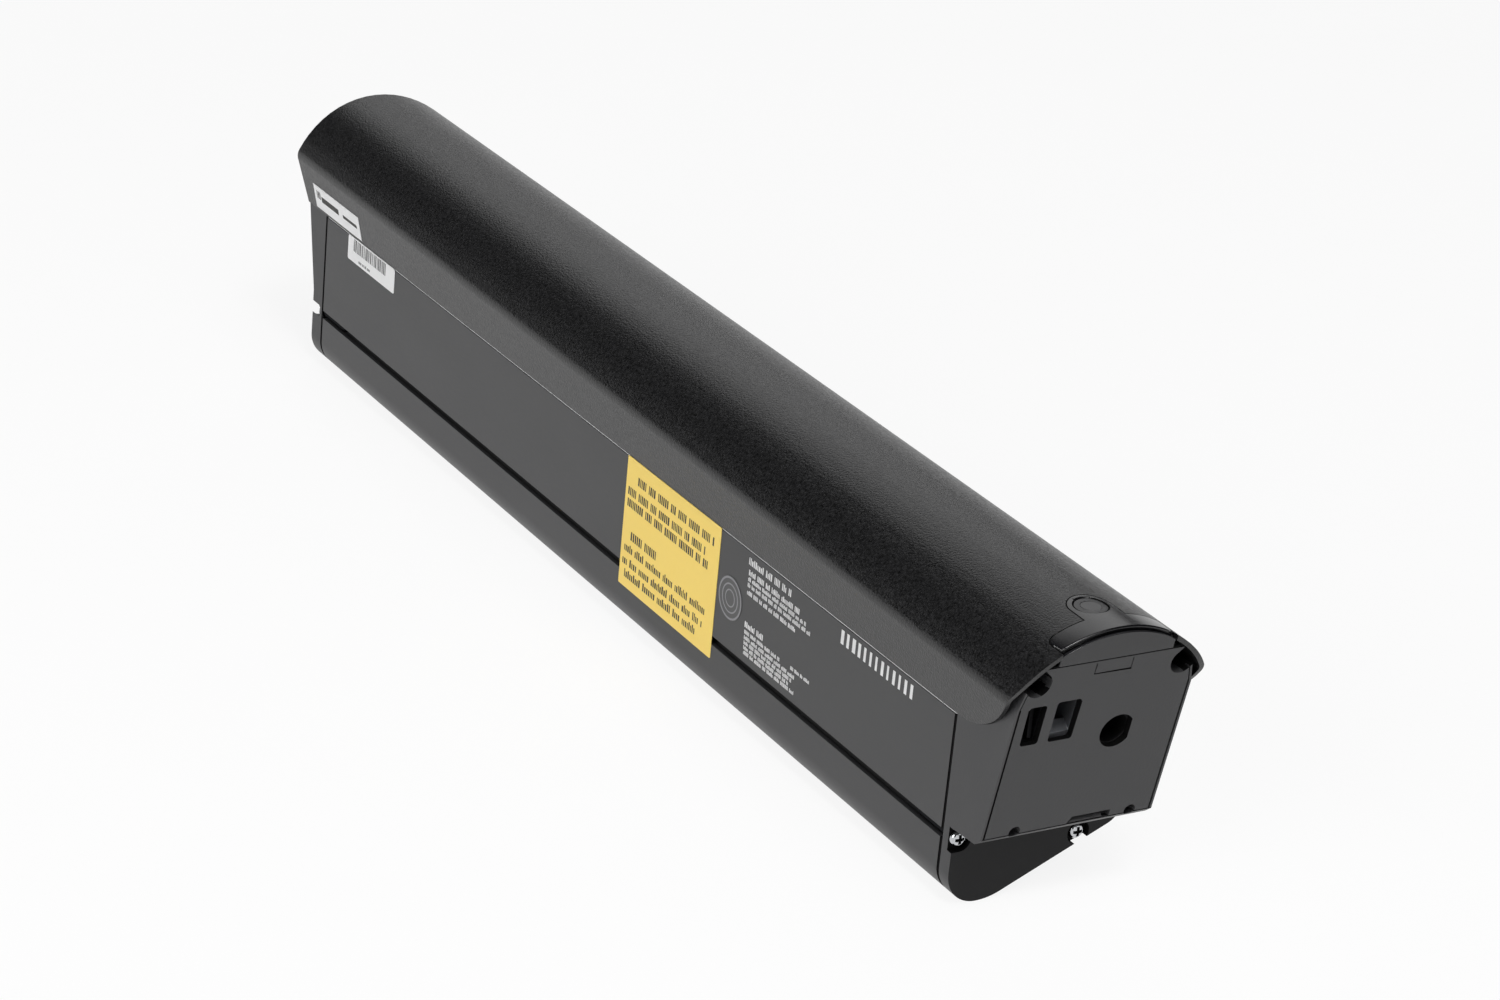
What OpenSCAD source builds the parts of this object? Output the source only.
/* [Case] */
// Length of the extruded case between its two end seams
case_len = 440; // [300:1:600]
// Width across the flat sides of the case
case_w = 60.5; // [52:0.5:80]
// Depth of the case below the crease line
case_depth = 61; // [56:0.5:80]
// Wall thickness of the extruded case
case_wall = 1.8; // [1.2:0.1:2.2]
// Radius of the lower corner on the label side
corner_r = 10.8; // [6:0.1:14]
// Radius with which the bottom runs into the slanted face
keel_r = 20; // [8:0.5:20]
// Radius of the lower corner on the plain side
far_corner_r = 8; // [4:0.5:12]
// Slope of the slanted bottom face
facet_angle = 23.5; // [18:0.5:26]
// Width of the narrow flat strip at the very bottom
keel_w = 4.5; // [2:0.5:8]
// Height of the side groove
groove_h = 3; // [2:0.1:3.4]
// Depth of the side groove
groove_depth = 2.75; // [2:0.05:4]
// Drop from the crease to the top of the side groove
groove_drop = 37.8; // [34:0.1:38.4]

/* [Top cover] */
// Height of the dome above the crease
dome_h = 37.4; // [34:0.1:44]
// Radius of the dome's wide top arc
dome_r = 40.1; // [38:0.1:44]
// Width across the widest part of the dome
dome_w = 68.2; // [66:0.1:72]
// Radius of the dome's shoulder
shoulder_r = 4.4; // [3:0.1:6]
// Wall thickness of the top cover
cover_wall = 1.5; // [1:0.1:2]
// Depth of the cover's tongue inside the case
tongue_depth = 5; // [3:0.5:8]
// Thickness of the seal strip in the crease
crease_seal_t = 0.6; // [0.3:0.1:1]
// How far the cover's near edge stands out past the seam, at the crease
cover_near = 27.1; // [24:0.1:28]
// How far the cover's far edge stands out past the seam, at the crease
cover_far = 17.3; // [14:0.1:20]
// Radius of the cover's near lower corners, seen from the side
cover_corner_r = 33; // [20:0.1:35]

/* [Lock end] */
// Lean of the lock end's face
rake = 11.9; // [6:0.1:14]
// How far the face stands out past the seam, at the crease
face_out = 26.6; // [26:0.1:30]
// Drop from the crease to the bottom edge of the face plate
plate_drop = 32.4; // [30:0.1:34]
// How far the stepped-back foot of the cap stands out past the seam
foot_out = 6.2; // [5.6:0.1:8]
// Thickness of the face plate
plate_t = 2.2; // [1.5:0.1:3]
// Wall thickness of both end caps
cap_wall = 2; // [1.5:0.1:2.5]
// Thickness of the gaskets between caps and case
gasket_t = 0.8; // [0.5:0.1:1.2]
// Length of the caps' spigots inside the case
spigot_len = 8; // [5:0.5:10]
// Width of the slot for the service socket
slot_w = 6.1; // [5.5:0.1:6.6]
// Height of the slot for the service socket
slot_h = 13.5; // [12.5:0.1:14.5]
// Width of the lock pocket
pocket_w = 8.3; // [7:0.1:9]
// Height of the lock pocket
pocket_h = 14; // [12:0.1:15]
// Depth of the lock pocket behind the face plate
pocket_depth = 12; // [8:0.5:14]
// Radius of the charging hole
charge_r = 5.75; // [5:0.05:6.2]
// Distance from the charging hole's axis to its flat
charge_flat = 4.7; // [4.4:0.05:5]
// Radius of the screwdriver recesses for the upper screws
recess_r = 4.2; // [3.6:0.1:4.6]

/* [Power button] */
// Distance of the button's axis from the seam
button_x = 17.3; // [16.8:0.1:19]
// Radius of the button
button_r = 5; // [3.8:0.1:5.4]
// Travel of the button
button_travel = 0.6; // [0.3:0.05:0.8]
// Radius of the panel's tongue round the button
tongue_r = 7.2; // [6.8:0.1:8]
// Width of the glossy panel
panel_w = 39.6; // [34:0.2:42]
// Distance of the panel's back edge from the seam
panel_back = 24.2; // [23:0.1:25]

/* [Screws] */
// Diameter of the screws' threads
screw_d = 3.6; // [3:0.1:4]
// Diameter of the screws' heads
head_d = 6.2; // [5.4:0.1:6.6]
// Height of the screws' heads
head_h = 2.2; // [1.6:0.1:2.6]
// Wall round each screw port
port_wall = 1.5; // [1:0.1:1.8]

/* [Cells] */
// Diameter of one cell
cell_d = 18.3; // [17.6:0.1:18.4]
// Length of one cell
cell_len = 65; // [60:0.5:66]
// Rise from one cell to the next in a column
cell_pitch = 18.6; // [18.5:0.05:18.8]
// Distance between the columns of cells
column_pitch = 18.45; // [18.42:0.01:18.6]
// Number of cell bundles along the case
bundles = 6; // [1:1:6]
// Depth of the cell holders
holder_t = 8; // [5:0.5:12]
// Thickness of the welded connector plates
nickel_t = 0.3; // [0.15:0.05:0.5]
// Thickness of the sheets between bundles
sheet_t = 0.6; // [0.4:0.1:1]
// Thickness of the insulating liner in the case
liner_t = 0.4; // [0.2:0.05:0.5]

/* [Labels] */
// Width of the yellow label
yellow_w = 62.5; // [50:0.5:70]
// Height of the yellow label, from the crease down over the groove
yellow_h = 45.8; // [42:0.1:48]
// Length of the two white labels
white_w = 40; // [30:0.5:45]
// Height of the two white labels
white_h = 9.4; // [7:0.1:10]
// Diameter of the round mark
mark_d = 14.8; // [8:0.1:16]
// Thickness of the labels
label_t = 0.15; // [0.1:0.01:0.3]

/* [Hidden] */
$fn = 48;
// General clearance between pieces that don't press on each other
clear = 0.3;
// Overrun of every cut past the face that it opens
over = 1;
// Arcs reach this far past the lines and arcs that they run into, so that they cross cleanly
tuck = 0.02;
// Half widths of the case and of the dome
half_w = case_w / 2;
half_dome = dome_w / 2;
bottom_z = -case_depth;
// Far seam and near seam, along the length
near_x = 0;
far_x = -case_len;
// Centre of the label side's lower corner
keel_left_y = -half_w + corner_r;
keel_left_z = bottom_z + corner_r;
keel_right_y = keel_left_y + keel_w;
// Arc between the bottom and the slanted face, never longer than the flat strip, and its short chords
keel_round = min(keel_r, (keel_w - tuck) / tan(facet_angle / 2));
keel_y = keel_right_y - keel_round * tan(facet_angle / 2);
keel_steps = 8;
// Centre of the plain side's lower corner, which touches the side and the slanted face
far_corner_y = half_w - far_corner_r;
far_corner_z = bottom_z + (far_corner_r + sin(facet_angle) * (far_corner_y - keel_right_y))
    / cos(facet_angle);
// Radius of the dome's top arc, which always spans the dome's width
crown_reach_share = 0.84;
shoulder_y = half_dome - shoulder_r;
top_r = max(dome_r, shoulder_r + shoulder_y / crown_reach_share);
// Centre of the dome's top arc and of its shoulder arcs
dome_cz = dome_h - top_r;
shoulder_z = dome_cz + sqrt(pow(top_r - shoulder_r + tuck, 2) - pow(shoulder_y, 2));
shoulder_reach = sqrt(pow(shoulder_y - half_w, 2) + pow(shoulder_z, 2));
// Angle of the dome's drawn-in side, from level
side_angle = atan2(shoulder_z, shoulder_y - half_w) - asin(shoulder_r / shoulder_reach);
// Direction from the top arc's centre to the shoulder's centre
crown_angle = atan2(shoulder_z - dome_cz, shoulder_y);
// Height of the slanted face at a place across
function facet_z(y) = bottom_z + (y - keel_right_y) * tan(facet_angle);
// Straight top edge of the face plate, below the top of the dome
window_drop = 9.9;
window_z = dome_h - window_drop;
// Places of the screws, across and up: in the groove, on the slanted face, and under the dome's skin
groove_z = -groove_drop - groove_h / 2;
port_y = 15.05;
port_lift = 3.456;
upper_skin = 4.96;
window_gap = 1.2;
lower_left = [-half_w + groove_depth, groove_z];
lower_right = [port_y, facet_z(port_y) + port_lift];
upper_z = window_z - recess_r - window_gap;
upper_y = min(half_dome - upper_skin, sqrt(pow(top_r - upper_skin, 2) - pow(upper_z - dome_cz, 2)));
port_r = screw_d / 2 + port_wall;
// Half width of the window above the face plate
window_half_w = panel_w / 2;
window_rim = 1.3;
window_front = 1.2;
// Insets of what fits inside the cover and inside the case
cover_fit = cover_wall + clear;
case_fit = case_wall + clear;
plate_lip = 0.7;
plate_gap = 0.4;
// Overall reach of the part, used to put the origin at the middle of its box
panel_set = 2.1;
far_tip = far_x - cover_far - dome_h * tan(rake);
rim_z = dome_cz + sqrt(pow(top_r, 2) - pow(window_half_w, 2));
near_tip = near_x + max(cover_near + rim_z * tan(rake), face_out + (dome_h - window_rim) * tan(rake));
mid_x = (far_tip + near_tip) / 2;
mid_z = (dome_h - case_depth) / 2;
// Slots in the face, across and up from the crease
slot_in = 7.35;
slot_y = -min(half_w, half_dome) + slot_in;
slot_z = 7.6;
pocket_step = 10.7;
pocket_y = slot_y + pocket_step;
pocket_z = 7.7;
charge_y = 8;
charge_z = 0.3;
// Columns of cells in one bundle, as many as the case is wide
columns = floor((case_w - 2 * (case_fit + liner_t) - cell_d) / column_pitch) + 1;
function column_y(c) = (c - (columns - 1) / 2) * column_pitch;
// Height of a circle's edge above its middle, at a distance across
function arc_rise(r, across) = sqrt(pow(r, 2) - pow(min(r, abs(across)), 2));
// Lowest centre of a column: over the bottom, the slanted face and its screw port
cell_gap = 0.35;
cell_lift = 1.7;
low_cell = cell_d / 2 + case_fit + liner_t + cell_gap;
port_room = cell_d / 2 + port_r + 2 * clear;
function facet_low(y) = facet_z(y) + low_cell / cos(facet_angle);
function column_floor(y) = max(bottom_z + low_cell, facet_low(y), abs(y - lower_right[0]) > port_room ?
    bottom_z : lower_right[1] + arc_rise(port_room, y - lower_right[0]));
// Next to the port in the groove a column starts at the bottom, and goes on above the port
function by_port(y) = abs(y - lower_left[0]) < port_room;
function port_reach(y) = arc_rise(port_room - 2 * clear + hole_clear, y - lower_left[0]);
function cells_under(y) = max(0, floor((groove_z - port_reach(y) - column_floor(y)) / cell_pitch) + 1);
function column_base(y) = by_port(y) ?
    max(column_floor(y), groove_z + port_reach(y) - cells_under(y) * cell_pitch) :
    max(column_floor(y), facet_low(y) + cell_lift);
function cell_z(y, i) = i * cell_pitch
    + (by_port(y) && i < cells_under(y) ? column_floor(y) : column_base(y));
function column_low(y) = cell_z(y, 0);
// Highest centre of a column: under the upper screw ports and the room kept for the electronics
top_room = 20;
function column_high(y) = min(dome_h - top_room,
                              upper_z - arc_rise(port_room + cover_wall, upper_y - abs(y)));
function column_count(y) = floor((column_high(y) - column_base(y)) / cell_pitch) + 1;
function column_top(y) = cell_z(y, column_count(y) - 1);
hole_clear = 0.1;
cell_places = [for (c = [0:columns - 1], i = [0:column_count(column_y(c)) - 1])
    [column_y(c), cell_z(column_y(c), i)]];
bundle_len = cell_len + 2 * nickel_t + sheet_t;
bundle_gap = 0.6;
bundle_pitch = bundle_len + bundle_gap;
first_gap = 4.5;
first_x = far_x + spigot_len + first_gap;
// Bundles that find room between the two spigots
bundle_count = min(bundles, floor((case_len - 2 * spigot_len - first_gap) / bundle_pitch));
// Sealed electronics in the dome and in the lock end
board_t = 1.6;
bms_len = 110;
bms_w = 34;
bms_x = -150;
under_pad_t = 1.3;
bundle_rim = 0.5;
bundle_top = max([for (place = cell_places) place[1]]) + cell_d / 2 + bundle_rim;
bms_z = bundle_top + under_pad_t;

// Puts a piece drawn from the near seam and the crease into the part's own frame
module placed() translate([-mid_x, 0, -mid_z]) children();

// Stretches a section, drawn across and up, along the length
module along(x0, x1) translate([x0, 0, 0]) rotate([90, 0, 90]) linear_extrude(x1 - x0) children();

// Stretches a side view, drawn along and up, across the width
module across(w) rotate([90, 0, 0]) translate([0, 0, -w / 2]) linear_extrude(w) children();

// A block from its low corner to its high corner
module block(lo, hi) translate(lo) cube([hi[0] - lo[0], hi[1] - lo[1], hi[2] - lo[2]]);

// A straight rod along the length
module rod(x0, x1, r, y, z) translate([x0, y, z]) rotate([0, 90, 0]) cylinder(h = x1 - x0, r = r);

// A wire of straight runs with round knees
module wire(points, r) {
    for (i = [0:len(points) - 2]) {
        run = points[i + 1] - points[i];
        translate(points[i]) rotate([0, acos(run[2] / norm(run)), atan2(run[1], run[0])])
            cylinder(h = norm(run), r = r);
    }
    if (len(points) > 2)
        for (i = [1:len(points) - 2]) translate(points[i]) sphere(r);
}

// Section of the case below the crease, drawn in by a distance
module case_outline(inset = 0) {
    ll = corner_r - inset;
    rr = far_corner_r - inset;
    kr = keel_round - inset;
    polygon(concat([[-half_w + inset, 0], [-half_w + inset, keel_left_z], [keel_left_y, bottom_z + inset]],
                   [for (i = [0:keel_steps])
                       [keel_y + kr * sin(facet_angle * i / keel_steps),
                        bottom_z + keel_round - kr * cos(facet_angle * i / keel_steps)]],
                   [[far_corner_y + rr * sin(facet_angle), far_corner_z - rr * cos(facet_angle)],
                    [half_w - inset, far_corner_z], [half_w - inset, 0]]));
    translate([keel_left_y, keel_left_z]) circle(ll);
    translate([far_corner_y, far_corner_z]) circle(rr);
}

// Section of the dome above the crease, drawn in by a distance
module dome_outline(inset = 0) {
    rr = max(shoulder_r - inset, hole_clear);
    foot = half_w - inset / sin(side_angle);
    hip = [shoulder_y + (rr - tuck) * sin(side_angle), shoulder_z - (rr - tuck) * cos(side_angle)];
    crown = [shoulder_y + (rr - tuck) * cos(crown_angle), shoulder_z + (rr - tuck) * sin(crown_angle)];
    polygon([[-foot, 0], [foot, 0], hip, crown, [0, dome_cz + top_r - inset],
             [-crown[0], crown[1]], [-hip[0], hip[1]]]);
    for (side = [-1, 1]) translate([side * shoulder_y, shoulder_z]) circle(rr);
    intersection() {
        translate([0, dome_cz]) circle(top_r - inset, $fn = 96);
        polygon([[0, dome_cz], [top_r * 2 * cos(crown_angle), dome_cz + top_r * 2 * sin(crown_angle)],
                 [-top_r * 2 * cos(crown_angle), dome_cz + top_r * 2 * sin(crown_angle)]]);
    }
}

// Distance of the raked face from the near seam at a height, less a depth
function face_at(z, depth = 0) = near_x + face_out - depth + z * tan(rake);
function lip_at(z) = near_x + cover_near + z * tan(rake);
function far_at(z, out) = far_x - out - z * tan(rake);

// Slab parallel to the raked face, between two depths behind it
module raked_slab(d0, d1, z0, z1) across(dome_w + 2 * over)
    polygon([[face_at(z0, d1), z0], [face_at(z0, d0), z0], [face_at(z1, d0), z1], [face_at(z1, d1), z1]]);

// Everything behind the raked face less a depth
module behind_face(depth, x0, z0, z1) across(dome_w + 2 * over)
    polygon([[x0, z0], [face_at(z0, depth), z0], [face_at(z1, depth), z1], [x0, z1]]);

// Plan of the glossy panel, grown by a clearance
panel_round = 3;
module panel_plan(grow = 0) {
    front = lip_at(dome_h) + over;
    w = panel_w / 2 + grow;
    round_r = panel_round + grow;
    back = near_x + panel_back - grow;
    translate([back + round_r, -w]) square([front - back - round_r, 2 * w]);
    translate([back, -w + round_r]) square([front - back, 2 * (w - round_r)]);
    for (side = [-1, 1]) translate([back + round_r, side * (w - round_r)]) circle(round_r);
    translate([near_x + button_x, 0]) circle(tongue_r + grow);
    translate([near_x + button_x, -tongue_r - grow]) square([panel_back - button_x, 2 * (tongue_r + grow)]);
}

// Side view of the top cover, with its round near corner and its raked ends, moved out by a clearance
module cover_side(shift = 0) translate([shift, 0]) {
    low = cover_corner_r - hole_clear;
    corner_x = lip_at(low - cover_corner_r * sin(rake)) - cover_corner_r * cos(rake);
    turn = 90 - rake;
    polygon(concat([[far_at(-tongue_depth, cover_far), -tongue_depth], [corner_x, -tongue_depth]],
                   [for (i = [0:arc_steps])
                       [corner_x + cover_corner_r * sin(turn * i / arc_steps),
                        low - cover_corner_r * cos(turn * i / arc_steps)]],
                   [[lip_at(dome_h + over), dome_h + over],
                    [far_at(dome_h + over, cover_far), dome_h + over]]));
}
arc_steps = 24;

// Webs and round walls of the two screw ports, grown by a clearance
module port_shapes(grow = 0) {
    translate(lower_left) circle(port_r + grow);
    translate([-half_w, lower_left[1] - port_r - grow]) square([groove_depth, 2 * (port_r + grow)]);
    translate(lower_right) circle(port_r + grow);
    translate([lower_right[0] - port_r - grow, bottom_z])
        square([2 * (port_r + grow), lower_right[1] - bottom_z]);
}

// Section of the extruded case: thin wall, screw ports and the groove that opens one of them
module channel_section() difference() {
    case_outline();
    difference() {
        case_outline(case_wall);
        port_shapes();
    }
    translate([-half_w - over, groove_z - groove_h / 2]) square([groove_depth + over, groove_h]);
    for (place = [lower_left, lower_right]) translate(place) circle(screw_d / 2 + hole_clear);
    // Room for the crease seal
    translate([-half_w - over, -crease_seal_t]) square([case_w + 2 * over, crease_seal_t + over]);
}

module case_channel() color("#2c2c2e") placed() along(far_x, near_x) channel_section();

tongue_t = 1;
// Thin wall of the dome, open towards the case
module dome_shell() difference() {
    dome_outline();
    dome_outline(cover_wall);
    foot = half_w - cover_wall / sin(side_angle);
    translate([-foot, -over]) square([2 * foot, 2 * over]);
}

// Screw ports of the cover and the tongues that reach down inside the case
module cover_ribs() {
    intersection() {
        dome_outline(cover_wall / 2);
        for (side = [-1, 1]) translate([side * upper_y, upper_z]) circle(port_r + cover_wall);
    }
    inner = half_w - case_fit - tongue_t;
    reach = half_w - cover_wall / 2 - inner;
    for (side = [-1, 1]) {
        translate([side * (inner + reach / 2) - reach / 2, hole_clear]) square([reach, cover_wall]);
        translate([side * (inner + tongue_t / 2) - tongue_t / 2, -tongue_depth])
            square([tongue_t, tongue_depth + cover_wall + hole_clear]);
    }
}

module top_cover() color("#333335") placed() difference() {
    union() {
        intersection() {
            across(dome_w + 2 * over) cover_side();
            along(far_tip - over, near_tip + over) dome_shell();
        }
        along(far_x + spigot_len + clear, near_x - spigot_len - clear) cover_ribs();
    }
    // Window for the glossy panel and the bores of the screw ports
    translate([0, 0, window_z - cover_wall]) linear_extrude(dome_h) panel_plan(hole_clear);
    for (side = [-1, 1])
        rod(far_x, near_x, screw_d / 2 + hole_clear, side * upper_y, upper_z);
}

module cover_seals() color("#151515") placed()
    for (side = [-1, 1])
        block([far_x, side > 0 ? half_w - case_wall : -half_w + plate_gap, -crease_seal_t],
              [near_x, side > 0 ? half_w - plate_gap : -half_w + case_wall, 0]);

// Side view of the lock end cap outside the seam
module cap_side() {
    under_z = -plate_drop - plate_t;
    polygon([[near_x + gasket_t, bottom_z - over], [near_x + foot_out, bottom_z - over],
             [near_x + foot_out, under_z - plate_lip], [face_at(under_z, plate_t), under_z],
             [face_at(-plate_drop), -plate_drop], [face_at(0), 0], [near_x + gasket_t, 0]]);
}

// Section of the cap above the crease, as wide as the case and a little narrower at its top
flank_z = 14;
flank_in = 3.3;
module flank_outline(inset = 0) {
    w = half_w - inset;
    polygon([[-w, -over], [w, -over], [w, flank_z], [w - flank_in, window_z + over],
             [flank_in - w, window_z + over], [-w, flank_z]]);
}

// Recesses for the screwdriver, open towards the dome's skin
recess_turn = 45;
module recesses(x0) for (side = [-1, 1]) {
    rod(x0, near_tip, recess_r, side * upper_y, upper_z);
    translate([x0, side * upper_y, upper_z]) rotate([-side * recess_turn, 0, 0])
        translate([0, tuck - recess_r, 0])
            cube([near_tip - x0, 2 * (recess_r - tuck), half_dome - upper_y]);
}

module lock_end_cap() color("#2a2a2b") placed() difference() {
    union() {
        intersection() {
            along(near_x + gasket_t, near_tip) case_outline();
            across(case_w) cap_side();
        }
        along(near_x - spigot_len, near_x + gasket_t + over) intersection() {
            dome_outline(cover_fit);
            translate([-half_dome, 0]) square([dome_w, window_z]);
        }
        // Raised part in front of the cover's edge, set back where it runs in under the cover
        difference() {
            intersection() {
                along(near_x + gasket_t, near_tip) intersection() {
                    flank_outline();
                    translate([0, dome_cz]) circle(top_r - cover_fit, $fn = 96);
                }
                behind_face(0, near_x, 0, window_z);
            }
            intersection() {
                across(dome_w + 2 * over) cover_side(clear);
                along(near_x, near_tip) difference() {
                    translate([-half_dome - over, -over]) square([dome_w + 2 * over, dome_h + over]);
                    dome_outline(cover_fit - hole_clear);
                }
            }
        }
        along(near_x - spigot_len, near_x + gasket_t + over) intersection() {
            case_outline(case_fit);
            translate([-half_w, bottom_z]) square([case_w, case_depth]);
        }
    }
    // Hollow of the cap, open to the case and closed by the face plate
    difference() {
        union() {
            along(near_x - spigot_len - over, near_tip) intersection() {
                case_outline(case_fit + cap_wall);
                translate([-half_w, bottom_z]) square([case_w, case_depth]);
            }
            along(near_x - spigot_len - over, near_tip) intersection() {
                dome_outline(cover_fit + cap_wall);
                flank_outline(cap_wall);
            }
        }
        // The foot's closed face and the closed underside of the overhang
        block([near_x + foot_out - cap_wall, -half_w, bottom_z],
              [near_tip, half_w, -plate_drop + step_h + step_lip]);
        for (place = [lower_left, lower_right]) rod(near_x + gasket_t, near_tip, port_r, place[0], place[1]);
        for (side = [-1, 1]) rod(near_x + gasket_t, near_tip, recess_r + cap_wall, side * upper_y, upper_z);
    }
    // Rebate that the face plate sits in
    intersection() {
        along(near_x, near_tip) union() {
            case_outline(plate_lip);
            flank_outline(plate_lip);
        }
        raked_slab(-over, plate_t, -plate_drop, window_z + over);
    }
    // Room in the spigot for the screw ports
    along(near_x - spigot_len - over, near_x + gasket_t) port_shapes(clear);
    for (side = [-1, 1])
        rod(near_x - spigot_len - over, near_x + clear, port_r + cover_wall + clear, side * upper_y, upper_z);
    // Screw holes and recesses
    for (place = [lower_left, lower_right]) {
        rod(near_x, near_tip, screw_d / 2 + clear, place[0], place[1]);
        rod(near_x + foot_out - head_h, near_tip, head_d / 2 + head_gap, place[0], place[1]);
    }
    for (side = [-1, 1]) rod(near_x - spigot_len, near_tip, screw_d / 2 + clear, side * upper_y, upper_z);
    recesses(near_x + foot_out * 2);
    // Slots that open the recesses of the lower screws to the edge
    block([near_x + foot_out - head_h, -half_w - over, lower_left[1] - head_d / 2 - head_gap],
          [near_tip, lower_left[0], lower_left[1] + head_d / 2 + head_gap]);
    // Prying notches go on through the overhang's lip
    for (y = notches) rod(face_at(-plate_drop, 2 * plate_t), near_tip, notch_r, y, -plate_drop + notch_up);
    // Room for the window and the gauge board above the plate
    block([near_x + button_x - tongue_r, -window_half_w - clear, window_z - plate_t],
          [near_tip, window_half_w + clear, dome_h]);
}

module end_plate() color("#38383a") placed() difference() {
    intersection() {
        along(near_x, near_tip) union() {
            intersection() {
                case_outline(plate_lip + plate_gap);
                translate([-half_w, -plate_drop + plate_gap]) square([case_w, plate_drop]);
            }
            intersection() {
                flank_outline(plate_lip + plate_gap);
                translate([0, dome_cz]) circle(top_r - cover_fit, $fn = 96);
            }
        }
        raked_slab(0, plate_t, -plate_drop, window_z);
    }
    // Slot, lock pocket and keyed charging hole
    block([near_x, slot_y - slot_w / 2, slot_z - slot_h / 2],
          [near_tip, slot_y + slot_w / 2, slot_z + slot_h / 2]);
    block([near_x, pocket_y - pocket_w / 2, pocket_z - pocket_h / 2],
          [near_tip, pocket_y + pocket_w / 2, pocket_z + pocket_h / 2]);
    intersection() {
        rod(near_x, near_tip, charge_r, charge_y, charge_z);
        block([near_x, charge_y - charge_r - over, charge_z - charge_r - over],
              [near_tip, charge_y + charge_flat, charge_z + charge_r + over]);
    }
    recesses(near_x);
    // Prying notches and the stepped cut in the bottom edge
    for (y = notches) rod(near_x, near_tip, notch_r, y, -plate_drop + notch_up);
    along(near_x, near_tip)
        polygon([[step_y - step_w / 2, -plate_drop - over], [step_y - step_w / 2, -plate_drop + plate_gap],
                 [step_y - step_w / 2 + step_slant, -plate_drop + step_h],
                 [step_y + step_w / 2, -plate_drop + step_h], [step_y + step_w / 2, -plate_drop - over]]);
    // Thin scored line round the release tab
    difference() {
        block([near_x, -tab_w / 2, tab_z], [near_tip, tab_w / 2, tab_z + tab_h]);
        block([near_x - over, -tab_w / 2 + tab_line, tab_z + tab_line],
              [near_tip + over, tab_w / 2 - tab_line, tab_z + tab_h + over]);
        raked_slab(tab_line, plate_t + over, tab_z - over, window_z);
    }
}
notch_r = 2;
notch_up = 1;
notch_left_in = 11.6;
notch_right_in = 8.2;
notches = [-half_w + notch_left_in, half_w - notch_right_in];
step_y = 7.2;
step_w = 15;
step_h = 2.7;
step_slant = 1.4;
step_lip = 0.8;
tab_w = 13;
tab_drop = 4.7;
tab_z = window_z - tab_drop;
tab_h = 3.8;
tab_line = 0.35;
head_gap = 0.8;

module button_panel() color("#101012") placed() difference() {
    intersection() {
        translate([0, 0, window_z - cover_wall]) linear_extrude(dome_h) panel_plan();
        along(near_x, near_tip + over) difference() {
            dome_outline();
            dome_outline(cover_wall);
        }
        across(dome_w) polygon([[near_x, 0], [lip_at(0) - panel_set, 0],
                                [lip_at(dome_h + over) - panel_set, dome_h + over],
                                [near_x, dome_h + over]]);
    }
    translate([near_x + button_x, 0, 0]) cylinder(h = dome_h + over, r = button_r + button_gap);
}
button_gap = 0.25;

module power_button() color("#1c1c1f") placed() {
    intersection() {
        along(near_x, near_tip) dome_outline(button_gap);
        translate([near_x + button_x, 0, flange_z]) difference() {
            cylinder(h = dome_h - flange_z, r = button_r);
            translate([0, 0, dome_h - flange_z - lens_t - button_gap])
                cylinder(h = lens_t + over, r = lens_r + hole_clear);
        }
    }
    translate([near_x + button_x, 0, flange_z]) cylinder(h = flange_t, r = button_r + flange_w);
    translate([near_x + button_x, 0, stem_z]) cylinder(h = flange_z - stem_z, r = stem_r);
}
flange_t = 1;
flange_w = 0.8;
flange_drop = 0.45;
flange_z = dome_h - cover_wall - clear - flange_t - flange_drop;
lens_r = 3.1;
lens_t = 0.8;
stem_r = 1.7;
stem_l = 2.55;
stem_z = flange_z - stem_l;

module button_lens() color("#8e9296") placed()
    translate([near_x + button_x, 0, dome_h - lens_t - button_gap])
        cylinder(h = lens_t - hole_clear, r = lens_r);

module switch_plunger() color("#d8d8d4") placed()
    translate([near_x + button_x, 0, stem_z - plunger_h]) cylinder(h = plunger_h, r = plunger_r);
plunger_h = 2.2;
plunger_r = 1.4;

module tact_switch() color("#3a3a3c") placed() difference() {
    block([near_x + button_x - switch_half, -switch_half, board_top],
          [near_x + button_x + switch_half, switch_half, switch_top]);
    translate([near_x + button_x, 0, stem_z - plunger_h - button_travel - hole_clear])
        cylinder(h = plunger_h + over, r = plunger_r + hole_clear / 2);
}
switch_half = 3;
board_drop = 2.3;
board_top = window_z - board_drop;
switch_top = stem_z - button_travel - hole_clear;

// One layer of the window, whose round top is drawn in from the dome
module window_layer(inset, d0, d1) intersection() {
    along(near_x, near_tip) intersection() {
        dome_outline(inset);
        translate([-window_half_w, window_z]) square([2 * window_half_w, dome_h]);
    }
    raked_slab(d0, d1, window_z, dome_h);
}

module gauge_window() color("#262629") placed() {
    window_layer(window_rim, 0, window_front);
    window_layer(cover_fit, 0, 2 * plate_t);
}

module gauge_board() color("#20603a") placed()
    block([near_x + board_x, -board_half, board_top - board_t], [board_front, board_half, board_top]);
board_x = 12;
board_half = upper_y - recess_r - cap_wall - clear;
board_front = face_at(board_top - board_t, plate_t + clear);

module gauge_lamps() color("#e8e8e0") placed()
    for (i = [-2:2])
        block([board_front - plate_t - lamp_l, i * lamp_step - lamp_w / 2, board_top],
              [board_front - plate_t, i * lamp_step + lamp_w / 2, board_top + lamp_h]);
lamp_l = 2;
lamp_w = 2.4;
lamp_h = 3.4;
lamp_step = 6;

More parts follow.
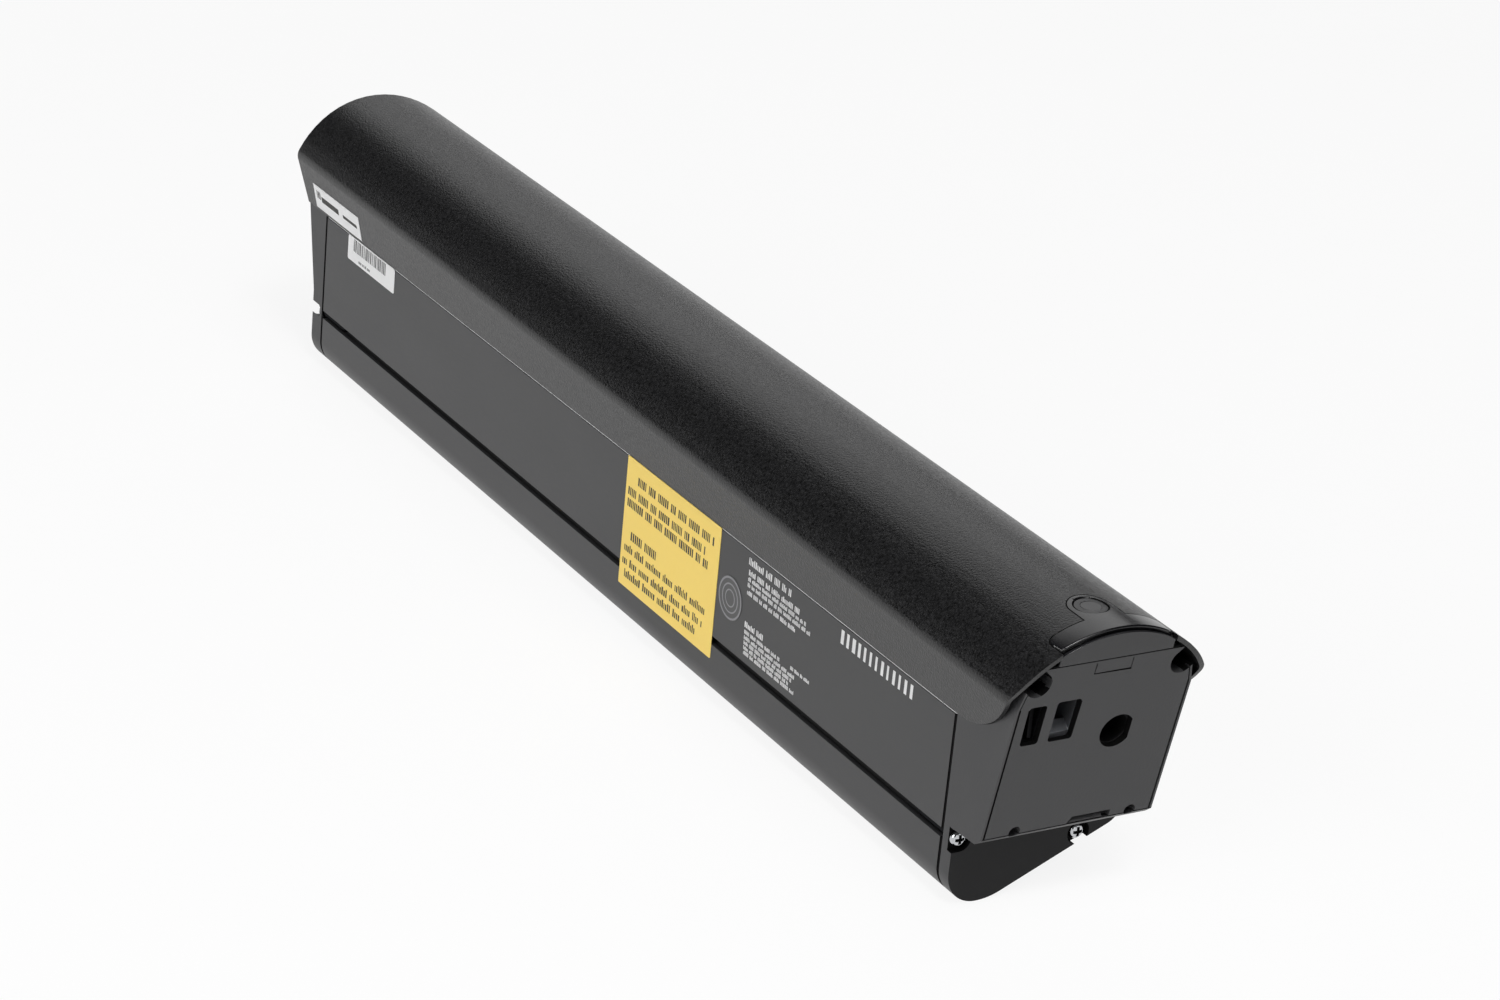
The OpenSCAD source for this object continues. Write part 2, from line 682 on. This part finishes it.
module strike_insert() color("#55565a") placed() intersection() {
    difference() {
        block([near_x, pocket_y - pocket_w / 2 - pocket_wall, pocket_z - pocket_h / 2 - pocket_wall],
              [near_tip, pocket_y + pocket_w / 2 + pocket_wall, pocket_z + pocket_h / 2 + pocket_wall]);
        difference() {
            block([face_at(pocket_z, plate_t + pocket_depth), pocket_y - pocket_w / 2,
                   pocket_z - pocket_h / 2],
                  [near_tip, pocket_y + pocket_w / 2, pocket_z + pocket_h / 2]);
            // Ramp that leads the bolt in
            across(dome_w) polygon([[face_at(pocket_z, plate_t + ramp_l), pocket_z - pocket_h / 2],
                                    [near_tip, pocket_z - pocket_h / 2],
                                    [face_at(pocket_z, plate_t), pocket_z - pocket_h / 2 + ramp_lip],
                                    [face_at(pocket_z, plate_t + ramp_l), pocket_z - pocket_h / 2 + ramp_h]]);
        }
    }
    behind_face(plate_t, face_at(pocket_z, plate_t + pocket_depth) - pocket_wall, -plate_drop, window_z);
}
pocket_wall = 1.2;
ramp_l = 4;
ramp_h = 4.5;
ramp_lip = 0.8;

module service_socket() color("#b9bcc0") placed() intersection() {
    union() {
        difference() {
            block([near_x, slot_y - slot_w / 2 - over / 2, slot_z - slot_h / 2 - over / 2],
                  [near_tip, slot_y + slot_w / 2 + over / 2, slot_z + slot_h / 2 + over / 2]);
            block([face_at(slot_z, plate_t + socket_depth), slot_y - slot_w / 2 + socket_wall,
                   slot_z - slot_h / 2 + socket_wall],
                  [near_tip, slot_y + slot_w / 2 - socket_wall, slot_z + slot_h / 2 - socket_wall]);
        }
        block([face_at(slot_z, plate_t + socket_depth) - over, slot_y + socket_wall,
               slot_z - slot_h / 2 + 2 * socket_wall],
              [face_at(slot_z, plate_t + socket_wall * 2), slot_y + slot_w / 2 - socket_wall - over / 2,
               slot_z + slot_h / 2 - 2 * socket_wall]);
    }
    behind_face(plate_t, face_at(slot_z, plate_t + socket_depth) - over, -plate_drop, window_z);
}
socket_depth = 12;
socket_wall = 0.6;

module charge_socket() color("#19191b") placed() intersection() {
    difference() {
        rod(near_x, near_tip, charge_r + charge_wall, charge_y, charge_z);
        rod(face_at(charge_z, plate_t + socket_depth), near_tip, charge_r - socket_wall, charge_y, charge_z);
        rod(near_x, near_tip, charge_pin_r, charge_y, charge_z);
    }
    behind_face(plate_t, face_at(charge_z, plate_t + socket_depth) - 2 * charge_wall, -plate_drop, window_z);
}
charge_wall = 1.5;
charge_pin_r = 1.2;

module charge_pins() color("#c9a24a") placed()
    rod(face_at(charge_z, plate_t + socket_depth) - 2 * charge_wall - pin_tail,
        face_at(charge_z, plate_t + pin_back), charge_pin_r, charge_y, charge_z);
pin_tail = 3;
pin_back = 8;

// Gasket between an end cap and the case: the case's own section, set back a little from its faces
module gasket(x0, x1) along(x0, x1) intersection() {
    channel_section();
    case_outline(plate_gap);
}
module near_gasket() color("#0e0e0e") placed() gasket(near_x, near_x + gasket_t);
module far_gasket() color("#0e0e0e") placed() gasket(far_x - gasket_t, far_x);

// Pan head screw that lies along the length, head on its high side
module screw(x_head, length, place) {
    difference() {
        rod(x_head - head_h, x_head, head_d / 2, place[0], place[1]);
        for (turn = [0, 90]) translate([x_head, place[0], place[1]]) rotate([turn, 0, 0])
            cube([2 * over, head_d * drive_share, head_d * drive_w_share], center = true);
    }
    rod(x_head - length, x_head - head_h, screw_d / 2, place[0], place[1]);
}
drive_share = 0.62;
drive_w_share = 0.16;

module lower_screws() color("#c4c6c8") placed()
    for (place = [lower_left, lower_right]) screw(near_x + foot_out, lower_screw_len, place);
lower_screw_len = 22;

module upper_screws() color("#c4c6c8") placed()
    for (side = [-1, 1]) screw(near_x + foot_out * 2 + head_h, upper_screw_len, [side * upper_y, upper_z]);
upper_screw_len = 38;

module far_end_cap() color("#2a2a2b") placed() difference() {
    union() {
        intersection() {
            along(far_tip, far_x - gasket_t) case_outline();
            across(case_w) polygon([[far_x - gasket_t, 0], [far_at(0, far_out), 0],
                                    [far_at(-plate_drop, far_out), -plate_drop],
                                    [far_at(-plate_drop, far_out), bottom_z - over],
                                    [far_x - gasket_t, bottom_z - over]]);
        }
        intersection() {
            along(far_tip, far_x + spigot_len) dome_outline(cover_fit);
            across(dome_w) polygon([[far_at(0, far_out), 0], [far_x + spigot_len, 0],
                                    [far_x + spigot_len, dome_h],
                                    [far_at(dome_h, far_out), dome_h]]);
        }
        along(far_x - gasket_t - over, far_x + spigot_len) case_outline(case_fit);
    }
    // Hollow towards the case
    difference() {
        union() {
            along(far_x - hollow_out, far_x + spigot_len + over) case_outline(case_fit + cap_wall);
            along(far_x - hollow_out, far_x + spigot_len + over) dome_outline(cover_fit + cap_wall);
        }
        for (place = far_places) rod(far_tip, far_x - gasket_t, port_r, place[0], place[1]);
    }
    along(far_x - gasket_t, far_x + spigot_len + over) port_shapes(clear);
    for (side = [-1, 1])
        rod(far_x - clear, far_x + spigot_len + over, port_r + cover_wall + clear, side * upper_y, upper_z);
    for (place = far_places) {
        rod(far_tip, far_x + spigot_len, screw_d / 2 + clear, place[0], place[1]);
        rod(far_tip, far_x - hollow_out + head_h, head_d / 2 + clear, place[0], place[1]);
    }
    // Notch in the side, level with the groove
    block([far_tip, -half_w - over, groove_z - groove_h / 2],
          [far_x - notch_x, lower_left[0], groove_z + groove_h / 2 + over]);
    // Well that holds the discharge connector
    block([far_tip, -dock_w / 2, dock_z - dock_h / 2], [far_x, dock_w / 2, dock_z + dock_h / 2]);
}
far_out = 15.9;
hollow_out = 5;
notch_x = 3.4;
far_places = [lower_left, lower_right, [-upper_y, upper_z], [upper_y, upper_z]];
dock_w = 30;
dock_h = 16;
dock_z = -14;

module discharge_block() color("#1d1d1f") placed() difference() {
    union() {
        block([far_x - dock_deep, -dock_w / 2 + clear, dock_z - dock_h / 2 + clear],
              [far_x + spigot_len, dock_w / 2 - clear, dock_z + dock_h / 2 - clear]);
        block([far_x - hollow_out + clear, -dock_w / 2 - cap_wall, dock_z - dock_h / 2 - cap_wall],
              [far_x, dock_w / 2 + cap_wall, dock_z + dock_h / 2 + cap_wall]);
    }
    for (i = [-1.5:1:1.5])
        block([far_tip, i * blade_step - blade_slot / 2, dock_z - blade_h / 2 - clear],
              [far_x + spigot_len / 2, i * blade_step + blade_slot / 2, dock_z + blade_h / 2 + clear]);
    for (i = [-1.5:1:1.5]) block([far_tip, i * blade_step - blade_t / 2 - hole_clear, dock_z - blade_h / 2],
                                 [far_x + 2 * spigot_len, i * blade_step + blade_t / 2 + hole_clear,
                                  dock_z + blade_h / 2]);
}
dock_deep = 10;
blade_step = 6.5;
blade_slot = 4.4;
blade_h = 9;
blade_t = 0.8;

module discharge_blades() color("#c08a4a") placed()
    for (i = [-1.5:1:1.5]) block([far_x - dock_deep + 2 * over, i * blade_step - blade_t / 2,
                                  dock_z - blade_h / 2],
                                 [far_x + spigot_len + blade_tail, i * blade_step + blade_t / 2,
                                  dock_z + blade_h / 2]);
blade_tail = 1.5;

module far_screws() color("#c4c6c8") placed()
    translate([far_x - hollow_out, 0, 0]) mirror([1, 0, 0])
    for (place = far_places) screw(0, lower_screw_len, place);

// Lowest point along the length of one bundle of cells
function bundle_x(b) = first_x + b * bundle_pitch;

module cells() color("#3f78a8") placed()
    for (b = [0:bundle_count - 1], i = [0:len(cell_places) - 1])
        if (b < bundle_count - 1 || i < len(cell_places) - 1)
            rod(bundle_x(b) + nickel_t, bundle_x(b) + nickel_t + cell_len, cell_d / 2, cell_places[i][0],
                cell_places[i][1]);

// Section that fills the case and the dome round the cells
module bundle_outline() difference() {
    union() {
        case_outline(case_fit + liner_t);
        intersection() {
            dome_outline(case_fit + liner_t);
            translate([-half_w, -over]) square([case_w, bundle_top + over]);
        }
    }
    port_shapes(clear);
    for (side = [-1, 1]) {
        translate([side * upper_y, upper_z]) circle(port_r + cover_wall + clear);
        translate([side * half_w - case_fit - tongue_t - clear, -tongue_depth - clear])
            square([2 * (case_fit + tongue_t + clear), tongue_depth + cover_wall + 3 * clear]);
    }
}

module cell_holders() color("#e6e4dc") placed()
    for (b = [0:bundle_count - 1], far = [0, 1])
        along(bundle_x(b) + nickel_t + far * (cell_len - holder_t),
              bundle_x(b) + nickel_t + far * (cell_len - holder_t) + holder_t)
        difference() {
            bundle_outline();
            for (place = cell_places) translate(place) circle(cell_d / 2 + hole_clear);
        }

module nickel_plates() color("#c9c7c0") placed()
    for (b = [0:bundle_count - 1], far = [0, 1], c = [0:columns - 1])
        translate([bundle_x(b) + far * (cell_len + nickel_t), column_y(c), 0])
            block([0, -plate_half, column_low(column_y(c)) - plate_half],
                  [nickel_t, plate_half, column_top(column_y(c)) + plate_half]);
plate_half = 5;

module bundle_sheets() color("#d9d2b4") placed()
    for (b = [0:bundle_count - 1])
        along(bundle_x(b) + cell_len + 2 * nickel_t, bundle_x(b) + bundle_len) bundle_outline();

module case_liner() color("#c8b98a") placed()
    along(first_x, first_x + bundle_count * bundle_pitch) difference() {
        intersection() {
            case_outline(case_wall + hole_clear);
            translate([-half_w, bottom_z]) square([case_w, case_depth - tongue_depth - 2 * clear]);
        }
        case_outline(case_wall + hole_clear + liner_t);
        port_shapes(clear);
    }

module bms_board() color("#1f5a38") placed()
    block([bms_x, -bms_w / 2, bms_z], [bms_x + bms_len, bms_w / 2, bms_z + board_t]);

module bms_parts() color("#2f3033") placed() {
    part_z = bms_z + board_t;
    // Row of switching transistors along one edge
    for (i = [0:5])
        block([bms_x + part_rim + i * fet_step, -bms_w / 2 + fet_rim, part_z],
              [bms_x + part_rim + i * fet_step + fet_l, -bms_w / 2 + fet_rim + fet_w, part_z + fet_h]);
    // Resistor bar and the plug that takes the ribbon
    block([bms_x + part_rim, fet_rim, part_z], [bms_x + bar_end, fet_rim + fet_w, part_z + fet_h]);
    block([bms_x + plug_x, -part_w / 2, part_z], [bms_x + plug_x + part_w / 2, part_w / 2, part_z + plug_h]);
}
part_rim = 6;
part_w = 24;
fet_step = 12;
fet_l = 8;
fet_w = 9;
fet_h = 3;
fet_rim = 3;
bar_end = 76;
plug_x = 86;
plug_h = 4;

module main_fuse() color("#d0c24a") placed()
    block([bms_x - fuse_l - fuse_gap, -fuse_w / 2, bundle_top],
          [bms_x - fuse_gap, fuse_w / 2, bundle_top + fuse_h]);
fuse_gap = 8;
fuse_l = 22;
fuse_w = 12;
fuse_h = 6;

module foam_pads() color("#4b4b4e") placed() {
    for (x = [first_x + pad_start : pad_step : bms_x - pad_step])
        block([x, -pad_w / 2, bundle_top], [x + pad_l, pad_w / 2, bundle_top + pad_h]);
    block([bms_x, -pad_w / 2, bundle_top], [bms_x + bms_len, pad_w / 2, bms_z]);
}
pad_l = 50;
pad_w = 16;
pad_h = 8.4;
pad_step = 85;
pad_start = 20;

module power_leads() color("#b02020") placed()
    for (side = [-1, 1]) wire([[lead_x, side * lead_y, dock_z - blade_h / 2], [lead_x, side * lead_y, lead_z],
                               [bms_x, side * lead_y, lead_z]], lead_r);
lead_r = 1.2;
lead_x = far_x + spigot_len + blade_tail + lead_r;
lead_y = 1.5 * blade_step;
lead_z = bundle_top + lead_r + hole_clear;

module charge_leads() color("#202020") placed()
    wire([[face_at(charge_z, plate_t + socket_depth) - 2 * charge_wall - pin_tail, charge_y, charge_z],
          [near_x - spigot_len / 2, charge_y, charge_z], [near_x - spigot_len / 2, charge_y, lead_z],
          [bms_x + bms_len, charge_y, lead_z]], charge_pin_r);

module sense_harness() color("#d8d8d8") placed()
    block([first_x + ribbon_end, ribbon_y, bundle_top],
          [bms_x + ribbon_end, ribbon_y + ribbon_w, bundle_top + ribbon_t]);
ribbon_y = 12;
ribbon_w = 4.5;
ribbon_t = 1;
ribbon_end = 10;

module yellow_label() color("#f6d66f") placed()
    block([near_x - yellow_x - yellow_w, -half_w - label_t, -yellow_h],
          [near_x - yellow_x, -half_w, -label_t]);
yellow_x = 138;

module address_label() color("#eceded") placed()
    intersection() {
        along(far_x + address_x, far_x + address_x + white_w) difference() {
            dome_outline(-label_t);
            dome_outline();
        }
        block([far_tip, -max(half_w, half_dome) - over, over], [near_x, 0, over + white_h]);
    }
address_x = -9;

module code_label() color("#f2f2f2") placed()
    block([far_x + code_x, -half_w - label_t, -white_h - label_t],
          [far_x + code_x + white_w, -half_w, -label_t]);
code_x = 19.3;

module round_mark() color("#4a4b4e") placed()
    translate([near_x - mark_x, -half_w, -mark_z]) rotate([90, 0, 0]) cylinder(h = label_t, r = mark_d / 2);
mark_x = 129.2;
mark_z = 20.6;

case_channel();
top_cover();
cover_seals();
lock_end_cap();
end_plate();
button_panel();
power_button();
button_lens();
switch_plunger();
tact_switch();
gauge_window();
gauge_board();
gauge_lamps();
strike_insert();
service_socket();
charge_socket();
charge_pins();
near_gasket();
lower_screws();
upper_screws();
far_end_cap();
far_gasket();
discharge_block();
discharge_blades();
far_screws();
cells();
cell_holders();
nickel_plates();
bundle_sheets();
case_liner();
bms_board();
bms_parts();
main_fuse();
power_leads();
charge_leads();
sense_harness();
foam_pads();
yellow_label();
address_label();
code_label();
round_mark();
